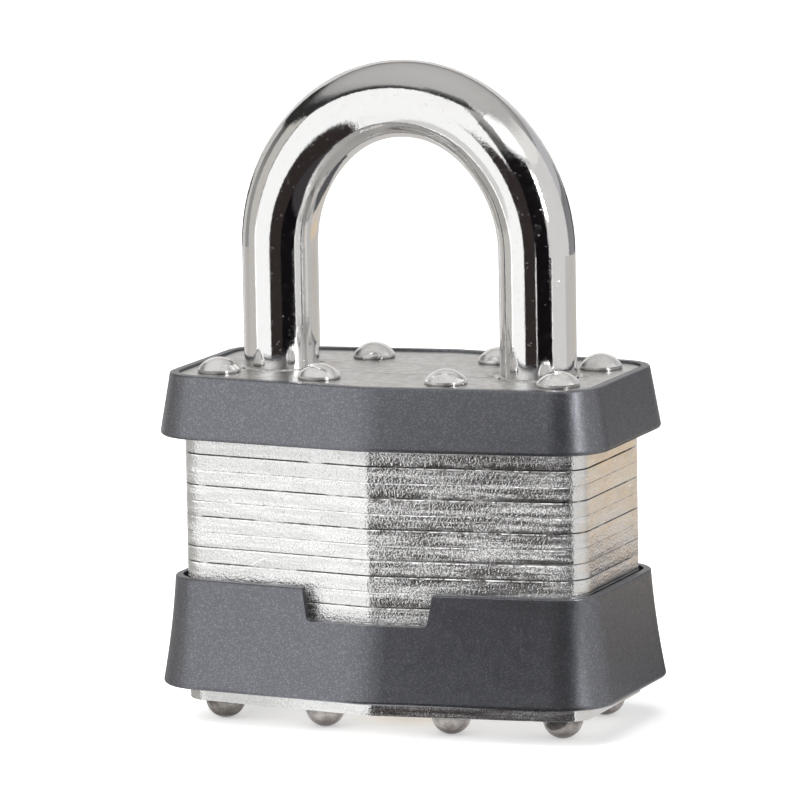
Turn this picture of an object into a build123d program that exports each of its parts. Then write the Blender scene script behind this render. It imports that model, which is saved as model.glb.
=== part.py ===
from build123d import *
import math
import os

# A laminated steel padlock, in millimetres. +Z is up and the front faces -Y. The origin is the
# middle of the underside, level with the lower rivet heads. It is modelled closed and unlatched:
# the shackle is down, and the plug is turned to the position that draws both locking levers in.

# Stack of plates
PLATE_T = 1.62
PLATE_COUNT = 21
BODY_W = 44.4
BODY_DEPTH_MID = 25.0  # at the ridge down the middle of the front and of the back
BODY_DEPTH_END = 19.2  # at the sides
BODY_CORNER_R = 3.1
RIDGE_R = 2.0
TOP_PLATE_GROWTH = 0.45  # how far the top plate reaches past the others, into the bumper's rim
PLATE_ROLL = 0.09  # edge rounded over by the punch, as a bevel
PLATE_BURR_BREAK = 0.03  # bevel on the edge that the punch left sharp
TURNED_PLATE_COUNT = 10  # lowest plates, whose rolled edges lie the other way up

# Rivets, four along the front and four along the back
RIVET_SHANK_R = 1.6
RIVET_HOLE_CLEARANCE = 0.05
RIVET_TOP_R = 2.22
RIVET_TOP_H = 1.6
RIVET_BOTTOM_R = 2.1
RIVET_BOTTOM_H = 2.4
RIVET_EDGE_H = 0.4  # straight edge under each dome
RIVET_INNER_X = 7.0
RIVET_INNER_Y = 7.6
RIVET_SIDE_INSET = 3.45  # from a side of the body to the outer rivets
RIVET_OUTER_Y = 6.3

# Bumpers round the top and the bottom of the stack
BUMPER_GAP = 0.5  # between a bumper's wall and the plates
BUMPER_LIP_DEPTH = 0.9  # how far a lip reaches in between two plates
BUMPER_LIP_CLEARANCE = 0.1
UPPER_BUMPER_H = 6.5
UPPER_RIM_PROUD = 0.25  # the rim's height over the top plate
UPPER_RIM_REACH = 1.38  # outside of the rim from the plates' edge
UPPER_SKIRT_REACH = 2.5
LOWER_BUMPER_H = 11.35
LOWER_RIM_REACH = 1.25
LOWER_WAIST_REACH = 2.1
LOWER_WAIST_H = 3.6  # above the bumper's lower edge
LOWER_SKIRT_REACH = 2.72
BUMPER_EDGE_R = 0.35
RIM_EDGE_R = 0.2
NOTCH_TOP_W = 14.4
NOTCH_BOTTOM_W = 13.2
NOTCH_DEPTH = 3.3
NOTCH_CORNER_R = 0.5

# Shackle
BAR_R = 3.97
LEG_SPACING = 28.5
SHACKLE_CLEARANCE = 24.3  # from the top plate to the inside of the bow
BOW_TOP_R = 13.1  # centre line of the bow's crown
BOW_SIDE_SWEEP = 50.0  # degrees of each flatter arc that joins the crown to a leg
LEG_CLEARANCE = 0.28
LEG_HOLE_BEVEL = 0.35  # round each leg, on the top plate
TOE_DEPTH = 9.3
TOE_WELL_GAP = 0.3
LEG_END_CHAMFER = 0.8
LIFT_MARGIN = 0.3  # between the raised toe and the upper rivet heads
LATCH_NOTCH_DEPTH = 2.15
LATCH_NOTCH_GAP = 0.3
HEEL_NECK_R = 2.5
HEEL_NECK_CLEARANCE = 0.2
HEEL_COLLAR_H = 2.0
HEEL_STOP_GAP = 0.05
KEYHOLE_SHIFT = 5.0  # from the neck's place to the hole that the collar was passed through

# Lock cylinder: the plug turns in the shell, whose tower holds the driver pins
CORE_TOP_PLATE = 11
PLUG_R = 5.5
PLUG_CLEARANCE = 0.06
PLUG_SHOULDER = 0.9
PLUG_FACE_RECESS = 0.15
PLUG_END_FLOAT = 0.08
SHELL_WALL = 1.7
SHELL_SEAT_CLEARANCE = 0.08
TOWER_HALF_W = 2.6
CHAMBER_COVER_T = 1.0
KEYWAY_W = 1.5
KEYWAY_LOW = 3.6  # reach away from the pins
KEYWAY_HIGH = 3.0  # reach towards the pins
KEYWAY_WARD_W = 0.7
KEYWAY_WARD_H = 2.2
PIN_R = 1.45
PIN_CLEARANCE = 0.05
PIN_PITCH = 3.5
PIN_FIRST_H = 2.8  # first pin's axis above the shell's lower end
PIN_SHEAR_GAP = 0.3
PIN_BORE_FLOOR = 0.4  # from the plug's axis
KEY_PIN_LENGTHS = (3.2, 4.2, 3.6, 4.4)
KEY_PIN_TIP = 0.9
DRIVER_PIN_LEN = 4.0
DRIVER_PIN_EDGE = 0.25
DRIVER_PIN_GAP = 0.1
PIN_SPRING_LEN = 4.4

# Tail, cam and locking levers
NECK_R = 2.4
NECK_CLEARANCE = 0.1
TONGUE_W = 4.0
TONGUE_T = 1.8
TONGUE_H = 2.2
TONGUE_CLEARANCE = 0.05
CAM_R = 3.4
CAM_CLEARANCE = 0.1
CAM_END_GAP = 0.08
CRANK_R = 2.2  # from the plug's axis to each cam post, and the levers' travel
POST_R = 0.8
LEVER_PLATES_BELOW_TOP = 3  # whole plates over the levers
LEVER_PLATE_COUNT = 2
LEVER_FLOAT = 0.08
LEVER_TIP_GAP = 0.35
LEVER_HALF_W = 3.5
LEVER_SPRING_SIDE_W = 2.6
LEVER_ARM_W = 1.4
LEVER_FINGER_T = 0.9
LEVER_FINGER_GAP = 0.1
LEVER_FINGER_END = 0.15  # from the middle line
LEVER_SLOT = 1.5  # room past the post for the lever to snap in with the plug still
LEVER_ARM_OVERLAP = 1.5
LEVER_NOSE_BEVEL = 1.2
LEVER_POCKET_CLEARANCE = 0.15
LEVER_SPRING_LEN = 5.5

# Springs
SHACKLE_SPRING_R = 2.6
SHACKLE_SPRING_WIRE_R = 0.3
LEVER_SPRING_R = 0.62
LEVER_SPRING_WIRE_R = 0.16
PIN_SPRING_R = 1.0
PIN_SPRING_WIRE_R = 0.14
SPRING_TURN_GAP = 0.55  # between neighbouring turns at rest
SPRING_END_GAP = 0.05

# Levels and places that follow from the sizes above
STACK_Z = RIVET_BOTTOM_H
STACK_H = PLATE_T * PLATE_COUNT
STACK_TOP = STACK_Z + STACK_H
LEG_X = LEG_SPACING / 2
RIVET_OUTER_X = BODY_W / 2 - RIVET_SIDE_INSET
LEG_HOLE_R = BAR_R + LEG_CLEARANCE
NECK_PLATE = CORE_TOP_PLATE + 1
RETAINER_PLATE = NECK_PLATE + 1
LEVER_TOP_PLATE = PLATE_COUNT - LEVER_PLATES_BELOW_TOP
LEVER_BOTTOM_PLATE = LEVER_TOP_PLATE - LEVER_PLATE_COUNT + 1
UPPER_LIP_PLATE = PLATE_COUNT - 1
LOWER_LIP_PLATE = 2
SHELL_R = PLUG_R + SHELL_WALL
DRIVER_X = PLUG_R + DRIVER_PIN_GAP
TOWER_X = DRIVER_X + DRIVER_PIN_LEN + PIN_SPRING_LEN
LIFT = TOE_DEPTH + RIVET_TOP_H + LIFT_MARGIN
TOE_END_Z = STACK_TOP - TOE_DEPTH
LEVER_ARM_Y = CRANK_R + POST_R + LEVER_FINGER_GAP
LEVER_FINGER_X = POST_R + LEVER_FINGER_GAP
LEVER_BODY_X = LEVER_FINGER_X + LEVER_FINGER_T + LEVER_SLOT
LEVER_ARM_END_X = LEVER_FINGER_X + LEVER_FINGER_T
LEVER_TIP_X = LEG_X - BAR_R - LEVER_TIP_GAP
LEVER_POCKET_X = LEVER_ARM_END_X + LEVER_SPRING_LEN
LEVER_POCKET_Y = LEVER_ARM_Y + LEVER_ARM_W + LEVER_POCKET_CLEARANCE
RIVET_SPOTS = [
    (side * x, face * y)
    for side in (-1, 1)
    for face in (-1, 1)
    for x, y in ((RIVET_INNER_X, RIVET_INNER_Y), (RIVET_OUTER_X, RIVET_OUTER_Y))
]


def plate_base(number):
    """Height of the underside of a plate, counted from 1 at the bottom."""
    return STACK_Z + (number - 1) * PLATE_T


SHELL_BASE_Z = plate_base(2)
CORE_TOP_Z = plate_base(CORE_TOP_PLATE + 1)
CAM_BASE_Z = plate_base(RETAINER_PLATE)
LEVER_BASE_Z = plate_base(LEVER_BOTTOM_PLATE)
LEVER_ROOF_Z = plate_base(LEVER_TOP_PLATE + 1)
COLLAR_TOP_Z = plate_base(RETAINER_PLATE) - LIFT - HEEL_STOP_GAP
HEEL_END_Z = COLLAR_TOP_Z - HEEL_COLLAR_H
NECK_TOP_Z = plate_base(RETAINER_PLATE + 1) + HEEL_NECK_CLEARANCE
PIN_LEVELS = [SHELL_BASE_Z + PIN_FIRST_H + row * PIN_PITCH for row in range(len(KEY_PIN_LENGTHS))]


def from_middle(corner):
    """Distance of a corner from the middle line, rounded so that mirrored corners compare equal."""
    return round(abs(corner.X), 3)


def body_outline(growth):
    """The body seen from above, grown outwards: flat sides, ridged front and back, round corners."""
    half_w = BODY_W / 2 + growth
    half_mid = BODY_DEPTH_MID / 2 + growth
    half_end = BODY_DEPTH_END / 2 + growth
    with BuildSketch() as outline:
        with BuildLine():
            Polyline(
                (0, -half_mid),
                (half_w, -half_end),
                (half_w, half_end),
                (0, half_mid),
                (-half_w, half_end),
                (-half_w, -half_end),
                close=True,
            )
        make_face()
        fillet(outline.vertices().group_by(from_middle)[-1], BODY_CORNER_R + growth)
        fillet(outline.vertices().group_by(from_middle)[0], RIDGE_R)
    return outline.sketch


def plate_growth(number):
    """How far a plate's edge stands out; the plates behind the bumpers' lips are set back."""
    if number == PLATE_COUNT:
        return TOP_PLATE_GROWTH
    if number in (UPPER_LIP_PLATE, LOWER_LIP_PLATE):
        return -BUMPER_LIP_DEPTH - BUMPER_LIP_CLEARANCE
    return 0.0


def draw_heel_hole(number):
    """The long leg's bore; the retaining plate has a keyhole that fits round the leg's neck."""
    if number == RETAINER_PLATE:
        slot_w = 2 * (HEEL_NECK_R + HEEL_NECK_CLEARANCE)
        with Locations((-LEG_X, 0)):
            Circle(slot_w / 2)
            Rectangle(KEYHOLE_SHIFT, slot_w, align=(Align.MIN, Align.CENTER))
        with Locations((-LEG_X + KEYHOLE_SHIFT, 0)):
            Circle(LEG_HOLE_R)
    elif number > 1:
        with Locations((-LEG_X, 0)):
            Circle(LEG_HOLE_R)


def draw_middle(number):
    """The opening in the middle of a plate for the cylinder, the cam or the locking levers."""
    if number == 1:
        Circle(PLUG_R - PLUG_SHOULDER + PLUG_CLEARANCE)
    elif number <= CORE_TOP_PLATE:
        Circle(SHELL_R + SHELL_SEAT_CLEARANCE)
        Rectangle(
            TOWER_X + CHAMBER_COVER_T + SHELL_SEAT_CLEARANCE,
            2 * (TOWER_HALF_W + SHELL_SEAT_CLEARANCE),
            align=(Align.MIN, Align.CENTER),
        )
    elif number == NECK_PLATE:
        Circle(NECK_R + NECK_CLEARANCE)
    elif number < LEVER_BOTTOM_PLATE:
        Circle(CAM_R + CAM_CLEARANCE)
    elif number <= LEVER_TOP_PLATE:
        Rectangle(2 * LEVER_POCKET_X, 2 * LEVER_POCKET_Y)
        channel_w = LEVER_HALF_W + LEVER_SPRING_SIDE_W + 2 * LEVER_POCKET_CLEARANCE
        channel_y = (LEVER_HALF_W - LEVER_SPRING_SIDE_W) / 2
        for side in (-1, 1):
            with Locations((side * LEG_X / 2, side * channel_y)):
                Rectangle(LEG_X, channel_w)


def make_plate(number):
    """One punched plate of the stack with its rivet holes, leg holes and middle opening."""
    with BuildPart() as plate:
        with BuildSketch(Plane.XY.offset(plate_base(number))):
            add(body_outline(plate_growth(number)))
        extrude(amount=PLATE_T)
        lower_rim = plate.faces().sort_by(Axis.Z)[0].edges()
        upper_rim = plate.faces().sort_by(Axis.Z)[-1].edges()
        roll_is_up = number % 2 == 0
        if number <= TURNED_PLATE_COUNT:
            roll_is_up = not roll_is_up
        rolled, sharp = (upper_rim, lower_rim) if roll_is_up else (lower_rim, upper_rim)
        chamfer(rolled, length=PLATE_ROLL)
        chamfer(sharp, length=PLATE_BURR_BREAK)
        with BuildSketch(Plane.XY.offset(plate_base(number))):
            with Locations(*RIVET_SPOTS):
                Circle(RIVET_SHANK_R + RIVET_HOLE_CLEARANCE)
            draw_heel_hole(number)
            if plate_base(number + 1) > TOE_END_Z - TOE_WELL_GAP:
                with Locations((LEG_X, 0)):
                    Circle(LEG_HOLE_R)
            draw_middle(number)
        extrude(amount=PLATE_T, mode=Mode.SUBTRACT)
        if number == PLATE_COUNT:
            hole_rims = plate.faces().sort_by(Axis.Z)[-1].inner_wires().edges()
            chamfer(hole_rims.group_by(SortBy.RADIUS)[-1], length=LEG_HOLE_BEVEL)
    return plate


def make_coil(start, direction, length, coil_r, wire_r):
    """A compression spring that fills a length from a start point, wound on a helix."""
    rise = length - 2 * (wire_r + SPRING_END_GAP)
    turns = rise / (2 * wire_r + SPRING_TURN_GAP)
    axis = Vector(*direction)
    first = Vector(*start) + axis * (wire_r + SPRING_END_GAP)
    with BuildPart() as spring:
        with BuildLine() as wire:
            Helix(rise / turns, rise, coil_r, center=first, direction=axis)
        with BuildSketch(Plane(origin=wire.line @ 0, z_dir=wire.line % 0)):
            Circle(wire_r)
        sweep(path=wire.line, is_frenet=True)
    return spring


def make_lever(outward):
    """A locking lever: its nose points outward, and a hooked arm reaches round one cam post."""
    level = Plane(origin=(0, 0, LEVER_BASE_Z + LEVER_FLOAT), x_dir=(outward, 0, 0), z_dir=(0, 0, 1))
    thickness = LEVER_ROOF_Z - LEVER_BASE_Z - 2 * LEVER_FLOAT
    with BuildPart() as lever:
        with BuildSketch(level):
            with BuildLine():
                Polyline(
                    (LEVER_TIP_X, -LEVER_SPRING_SIDE_W),
                    (LEVER_TIP_X, LEVER_HALF_W),
                    (LEVER_BODY_X + LEVER_ARM_OVERLAP, LEVER_HALF_W),
                    (LEVER_BODY_X + LEVER_ARM_OVERLAP, LEVER_ARM_Y + LEVER_ARM_W),
                    (-LEVER_ARM_END_X, LEVER_ARM_Y + LEVER_ARM_W),
                    (-LEVER_ARM_END_X, LEVER_FINGER_END),
                    (-LEVER_FINGER_X, LEVER_FINGER_END),
                    (-LEVER_FINGER_X, LEVER_ARM_Y),
                    (LEVER_BODY_X, LEVER_ARM_Y),
                    (LEVER_BODY_X, -LEVER_SPRING_SIDE_W),
                    close=True,
                )
            make_face()
        extrude(amount=thickness)
        nose = lever.edges().filter_by(Axis.Y).group_by(Axis.Z)[-1]
        chamfer(nose.sort_by(Axis.X)[-1 if outward > 0 else 0], length=LEVER_NOSE_BEVEL)
    return lever


pieces = {}

# The stack, from the bottom plate to the top plate
for plate_number in range(1, PLATE_COUNT + 1):
    plate_name = f"plate_{plate_number:02d}"
    if plate_number == 1:
        plate_name = "bottom_plate"
    if plate_number == PLATE_COUNT:
        plate_name = "top_plate"
    pieces[plate_name] = make_plate(plate_number)

# Rivets: a shank through every plate, with a domed head at each end
LOW_DOME = (RIVET_BOTTOM_R, RIVET_BOTTOM_H - RIVET_EDGE_H)
HIGH_DOME = (RIVET_TOP_R, STACK_TOP + RIVET_EDGE_H)
CROWN = (0, STACK_TOP + RIVET_TOP_H)
with BuildPart() as rivets:
    for rivet_x, rivet_y in RIVET_SPOTS:
        with BuildSketch(Plane(origin=(rivet_x, rivet_y, 0), x_dir=(1, 0, 0), z_dir=(0, -1, 0))):
            with BuildLine():
                TangentArc((0, 0), LOW_DOME, tangent=(1, 0))
                Polyline(
                    LOW_DOME,
                    (RIVET_BOTTOM_R, STACK_Z),
                    (RIVET_SHANK_R, STACK_Z),
                    (RIVET_SHANK_R, STACK_TOP),
                    (RIVET_TOP_R, STACK_TOP),
                    HIGH_DOME,
                )
                TangentArc(CROWN, HIGH_DOME, tangent=(1, 0))
                Line(CROWN, (0, 0))
            make_face()
        revolve(axis=Axis((rivet_x, rivet_y, 0), (0, 0, 1)))
pieces["rivets"] = rivets

# Upper bumper: a flared ring whose rim stands over the top plate and whose lip lies under it
UPPER_BASE_Z = STACK_TOP + UPPER_RIM_PROUD - UPPER_BUMPER_H
with BuildPart() as upper_bumper:
    with BuildSketch(Plane.XY.offset(UPPER_BASE_Z)):
        add(body_outline(UPPER_SKIRT_REACH))
    with BuildSketch(Plane.XY.offset(UPPER_BASE_Z + UPPER_BUMPER_H)):
        add(body_outline(UPPER_RIM_REACH))
    loft(ruled=True)
    fillet(upper_bumper.faces().sort_by(Axis.Z)[0].edges(), BUMPER_EDGE_R)
    fillet(upper_bumper.faces().sort_by(Axis.Z)[-1].edges(), RIM_EDGE_R)
    with BuildSketch(Plane.XY.offset(UPPER_BASE_Z)):
        add(body_outline(BUMPER_GAP))
    extrude(amount=UPPER_BUMPER_H, mode=Mode.SUBTRACT)
    with BuildSketch(Plane.XY.offset(plate_base(UPPER_LIP_PLATE))):
        add(body_outline(BUMPER_GAP))
        add(body_outline(-BUMPER_LIP_DEPTH), mode=Mode.SUBTRACT)
    extrude(amount=PLATE_T)
pieces["upper_bumper"] = upper_bumper

# Lower bumper: a taller bell-shaped ring with a notch at the front, its lip on the bottom plate
LOWER_BASE_Z = plate_base(LOWER_LIP_PLATE)
with BuildPart() as lower_bumper:
    with BuildSketch(Plane.XY.offset(LOWER_BASE_Z)):
        add(body_outline(LOWER_SKIRT_REACH))
    with BuildSketch(Plane.XY.offset(LOWER_BASE_Z + LOWER_WAIST_H)):
        add(body_outline(LOWER_WAIST_REACH))
    with BuildSketch(Plane.XY.offset(LOWER_BASE_Z + LOWER_BUMPER_H)):
        add(body_outline(LOWER_RIM_REACH))
    loft()
    fillet(lower_bumper.faces().sort_by(Axis.Z)[0].edges(), BUMPER_EDGE_R)
    fillet(lower_bumper.faces().sort_by(Axis.Z)[-1].edges(), RIM_EDGE_R)
    with BuildSketch(Plane.XY.offset(LOWER_BASE_Z)):
        add(body_outline(BUMPER_GAP))
    extrude(amount=LOWER_BUMPER_H, mode=Mode.SUBTRACT)
    with BuildSketch(Plane.XY.offset(LOWER_BASE_Z)):
        add(body_outline(BUMPER_GAP))
        add(body_outline(-BUMPER_LIP_DEPTH), mode=Mode.SUBTRACT)
    extrude(amount=PLATE_T)
    with BuildSketch(Plane.XZ) as notch:
        notch_top_z = LOWER_BASE_Z + LOWER_BUMPER_H
        with BuildLine():
            Polyline(
                (-NOTCH_TOP_W / 2, notch_top_z),
                (-NOTCH_BOTTOM_W / 2, notch_top_z - NOTCH_DEPTH),
                (NOTCH_BOTTOM_W / 2, notch_top_z - NOTCH_DEPTH),
                (NOTCH_TOP_W / 2, notch_top_z),
                close=True,
            )
        make_face()
        fillet(notch.vertices().group_by(Axis.Y)[0], NOTCH_CORNER_R)
    extrude(amount=BODY_DEPTH_MID, mode=Mode.SUBTRACT)
pieces["lower_bumper"] = lower_bumper

# Shackle: one round bar, with a latch notch in each leg and a neck and collar on the long leg
SIDE_R = (LEG_X - BOW_TOP_R * math.cos(math.radians(BOW_SIDE_SWEEP))) / (
    1 - math.cos(math.radians(BOW_SIDE_SWEEP))
)
BOW_RISE = BOW_TOP_R + (SIDE_R - BOW_TOP_R) * math.sin(math.radians(BOW_SIDE_SWEEP))
BOW_Z = STACK_TOP + SHACKLE_CLEARANCE + BAR_R - BOW_RISE
with BuildPart() as shackle:
    with BuildLine(Plane.XZ) as bar:
        heel = Line((-LEG_X, HEEL_END_Z), (-LEG_X, BOW_Z))
        rise = JernArc(heel @ 1, heel % 1, SIDE_R, -BOW_SIDE_SWEEP)
        crown = JernArc(rise @ 1, rise % 1, BOW_TOP_R, 2 * BOW_SIDE_SWEEP - 180)
        fall = JernArc(crown @ 1, crown % 1, SIDE_R, -BOW_SIDE_SWEEP)
        Line(fall @ 1, (LEG_X, TOE_END_Z))
    with BuildSketch(Plane(origin=bar.line @ 0, z_dir=bar.line % 0)):
        Circle(BAR_R)
    sweep(path=bar.line)
    leg_ends = shackle.faces().filter_by(Plane.XY).edges()
    chamfer(leg_ends, length=LEG_END_CHAMFER)
    with BuildSketch(Plane.XY.offset(COLLAR_TOP_Z)):
        with Locations((-LEG_X, 0)):
            Circle(2 * BAR_R)
            Circle(HEEL_NECK_R, mode=Mode.SUBTRACT)
    extrude(amount=NECK_TOP_Z - COLLAR_TOP_Z, mode=Mode.SUBTRACT)
    with BuildSketch(Plane.XZ.offset(-BAR_R)):
        notch_h = LEVER_ROOF_Z - LEVER_BASE_Z + 2 * LATCH_NOTCH_GAP
        notch_x = LEG_X - BAR_R + LATCH_NOTCH_DEPTH
        with Locations((0, LEVER_BASE_Z - LATCH_NOTCH_GAP)):
            Rectangle(2 * notch_x, notch_h, align=(Align.CENTER, Align.MIN))
    extrude(amount=2 * BAR_R, mode=Mode.SUBTRACT)
pieces["shackle"] = shackle

# Cylinder shell with its pin tower, which points to the short leg's side
with BuildPart() as cylinder_shell:
    with BuildSketch(Plane.XY.offset(SHELL_BASE_Z)):
        Circle(SHELL_R)
        Rectangle(TOWER_X, 2 * TOWER_HALF_W, align=(Align.MIN, Align.CENTER))
        Circle(PLUG_R + PLUG_CLEARANCE, mode=Mode.SUBTRACT)
    extrude(amount=CORE_TOP_Z - SHELL_BASE_Z)
    for pin_z in PIN_LEVELS:
        with BuildSketch(Plane(origin=(0, 0, pin_z), z_dir=(1, 0, 0))):
            Circle(PIN_R + PIN_CLEARANCE)
        extrude(amount=TOWER_X, mode=Mode.SUBTRACT)
pieces["cylinder_shell"] = cylinder_shell

# Strip that closes the pin chambers
with BuildPart() as chamber_cover:
    with BuildSketch(Plane.XY.offset(SHELL_BASE_Z)):
        with Locations((TOWER_X, 0)):
            Rectangle(CHAMBER_COVER_T, 2 * TOWER_HALF_W, align=(Align.MIN, Align.CENTER))
    extrude(amount=CORE_TOP_Z - SHELL_BASE_Z)
pieces["chamber_cover"] = chamber_cover

# Plug, with the keyway in its face and its pin bores pointing to +Y at rest
PLUG_FACE_Z = STACK_Z + PLUG_FACE_RECESS
PLUG_BASE_Z = SHELL_BASE_Z + PLUG_END_FLOAT
PLUG_TOP_Z = CORE_TOP_Z - PLUG_END_FLOAT
NECK_END_Z = CAM_BASE_Z + CAM_END_GAP
with BuildPart() as plug:
    with BuildSketch(Plane.XY.offset(PLUG_FACE_Z)):
        Circle(PLUG_R - PLUG_SHOULDER)
    extrude(amount=PLUG_BASE_Z - PLUG_FACE_Z)
    with BuildSketch(Plane.XY.offset(PLUG_BASE_Z)):
        Circle(PLUG_R)
    extrude(amount=PLUG_TOP_Z - PLUG_BASE_Z)
    with BuildSketch(Plane.XY.offset(PLUG_TOP_Z)):
        Circle(NECK_R)
    extrude(amount=NECK_END_Z - PLUG_TOP_Z)
    with BuildSketch(Plane.XY.offset(NECK_END_Z)):
        Rectangle(TONGUE_W, TONGUE_T)
    extrude(amount=TONGUE_H)
    with BuildSketch(Plane.XY.offset(PLUG_FACE_Z)):
        with Locations((0, -KEYWAY_LOW)):
            Rectangle(KEYWAY_W, KEYWAY_LOW + KEYWAY_HIGH, align=(Align.CENTER, Align.MIN))
        with Locations((KEYWAY_W / 2, -KEYWAY_LOW)):
            Rectangle(KEYWAY_WARD_W, KEYWAY_WARD_H, align=(Align.MIN, Align.MIN))
        with Locations((-KEYWAY_W / 2, KEYWAY_HIGH)):
            Rectangle(KEYWAY_WARD_W, KEYWAY_WARD_H, align=(Align.MAX, Align.MAX))
    extrude(amount=PIN_LEVELS[-1] + PIN_R - PLUG_FACE_Z, mode=Mode.SUBTRACT)
    for pin_z in PIN_LEVELS:
        with BuildSketch(Plane(origin=(0, PIN_BORE_FLOOR, pin_z), z_dir=(0, 1, 0))):
            Circle(PIN_R + PIN_CLEARANCE)
        extrude(amount=PLUG_R, mode=Mode.SUBTRACT)
pieces["plug"] = plug

# Cam on the plug's tongue; its two posts stand between the levers
with BuildPart() as cam:
    with BuildSketch(Plane.XY.offset(NECK_END_Z)):
        Circle(CAM_R)
    extrude(amount=LEVER_BASE_Z - NECK_END_Z)
    with BuildSketch(Plane.XY.offset(LEVER_BASE_Z)):
        with Locations((0, -CRANK_R), (0, CRANK_R)):
            Circle(POST_R)
    extrude(amount=LEVER_ROOF_Z - LEVER_BASE_Z - CAM_END_GAP)
    with BuildSketch(Plane.XY.offset(NECK_END_Z)):
        Rectangle(TONGUE_W + 2 * TONGUE_CLEARANCE, TONGUE_T + 2 * TONGUE_CLEARANCE)
    extrude(amount=TONGUE_H + TONGUE_CLEARANCE, mode=Mode.SUBTRACT)
pieces["cam"] = cam

pieces["toe_lever"] = make_lever(1)
pieces["heel_lever"] = make_lever(-1)

# Pins: a key pin of its own length in the plug and a driver pin with its spring in the tower
for row, (pin_z, pin_len) in enumerate(zip(PIN_LEVELS, KEY_PIN_LENGTHS), start=1):
    with BuildPart() as key_pin:
        with BuildSketch(Plane(origin=(0, PLUG_R - PIN_SHEAR_GAP, pin_z), z_dir=(0, -1, 0))):
            Circle(PIN_R)
        extrude(amount=pin_len)
        chamfer(key_pin.edges().sort_by(Axis.Y)[0], length=KEY_PIN_TIP)
    pieces[f"key_pin_{row}"] = key_pin
    with BuildPart() as driver_pin:
        with BuildSketch(Plane(origin=(DRIVER_X, 0, pin_z), z_dir=(1, 0, 0))):
            Circle(PIN_R)
        extrude(amount=DRIVER_PIN_LEN)
        chamfer(driver_pin.edges().filter_by(GeomType.CIRCLE), length=DRIVER_PIN_EDGE)
    pieces[f"driver_pin_{row}"] = driver_pin
    pieces[f"pin_spring_{row}"] = make_coil(
        (DRIVER_X + DRIVER_PIN_LEN, 0, pin_z), (1, 0, 0), PIN_SPRING_LEN, PIN_SPRING_R, PIN_SPRING_WIRE_R
    )

# Springs that push the shackle up and the levers out
SPRING_SEAT_Z = plate_base(2)
LEVER_SPRING_Z = (LEVER_BASE_Z + LEVER_ROOF_Z) / 2
LEVER_SPRING_Y = LEVER_ARM_Y + LEVER_ARM_W / 2
pieces["shackle_spring"] = make_coil(
    (-LEG_X, 0, SPRING_SEAT_Z),
    (0, 0, 1),
    HEEL_END_Z - SPRING_SEAT_Z,
    SHACKLE_SPRING_R,
    SHACKLE_SPRING_WIRE_R,
)
pieces["toe_lever_spring"] = make_coil(
    (-LEVER_POCKET_X, LEVER_SPRING_Y, LEVER_SPRING_Z),
    (1, 0, 0),
    LEVER_SPRING_LEN,
    LEVER_SPRING_R,
    LEVER_SPRING_WIRE_R,
)
pieces["heel_lever_spring"] = make_coil(
    (LEVER_POCKET_X, -LEVER_SPRING_Y, LEVER_SPRING_Z),
    (-1, 0, 0),
    LEVER_SPRING_LEN,
    LEVER_SPRING_R,
    LEVER_SPRING_WIRE_R,
)

os.makedirs("parts", exist_ok=True)
for name, piece in pieces.items():
    piece.part.label = name
    export_step(piece.part, f"parts/{name}.step")
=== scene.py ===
import math

import bpy
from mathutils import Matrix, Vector


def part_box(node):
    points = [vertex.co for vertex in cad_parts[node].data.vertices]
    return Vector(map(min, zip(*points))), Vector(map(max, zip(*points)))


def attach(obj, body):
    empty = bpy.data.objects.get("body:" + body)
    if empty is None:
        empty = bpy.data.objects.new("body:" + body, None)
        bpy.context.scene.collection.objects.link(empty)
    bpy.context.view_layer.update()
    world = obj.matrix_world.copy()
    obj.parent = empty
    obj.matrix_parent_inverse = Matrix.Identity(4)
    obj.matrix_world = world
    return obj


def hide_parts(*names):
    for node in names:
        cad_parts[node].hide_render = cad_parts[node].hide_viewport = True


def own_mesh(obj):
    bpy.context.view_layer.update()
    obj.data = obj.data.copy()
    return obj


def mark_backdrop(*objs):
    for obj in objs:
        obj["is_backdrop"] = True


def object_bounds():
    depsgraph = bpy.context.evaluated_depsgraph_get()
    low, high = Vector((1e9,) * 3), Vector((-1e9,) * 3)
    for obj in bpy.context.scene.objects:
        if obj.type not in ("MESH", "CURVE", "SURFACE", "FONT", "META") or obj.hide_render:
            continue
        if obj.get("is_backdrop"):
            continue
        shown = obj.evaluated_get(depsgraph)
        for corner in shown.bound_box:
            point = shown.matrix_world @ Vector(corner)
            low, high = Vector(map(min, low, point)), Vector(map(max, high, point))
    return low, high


# The looks of a laminated padlock: a finish for every part, the studio round it and the camera.
# Lengths are in metres and angles in degrees. Azimuth 0 is straight in front, towards -Y, and
# grows towards +X.

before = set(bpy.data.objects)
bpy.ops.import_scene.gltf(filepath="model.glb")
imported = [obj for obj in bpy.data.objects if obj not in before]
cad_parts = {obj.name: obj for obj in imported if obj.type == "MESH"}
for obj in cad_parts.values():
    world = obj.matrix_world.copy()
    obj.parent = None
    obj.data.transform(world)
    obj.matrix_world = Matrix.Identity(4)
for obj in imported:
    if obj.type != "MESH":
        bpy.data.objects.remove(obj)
cad_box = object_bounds()
MM = 0.001

# Camera
CAMERA_AZIMUTH = 21.916
CAMERA_ELEVATION = 8.837
CAMERA_ROLL = 1.006
CAMERA_DISTANCE = 712.75 * MM
CAMERA_TARGET = Vector((-1.143, 0, 33.254)) * MM
SENSOR_W = 36.0  # this and the focal length in millimetres, as Blender takes them
FOCAL_LENGTH = 309.79
CAMERA_CLIP = 10 * MM

# Levels of the stack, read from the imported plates
STACK_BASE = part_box("bottom_plate")[0].z
PLATE_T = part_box("bottom_plate")[1].z - STACK_BASE
STACK_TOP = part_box("top_plate")[1].z

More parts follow.
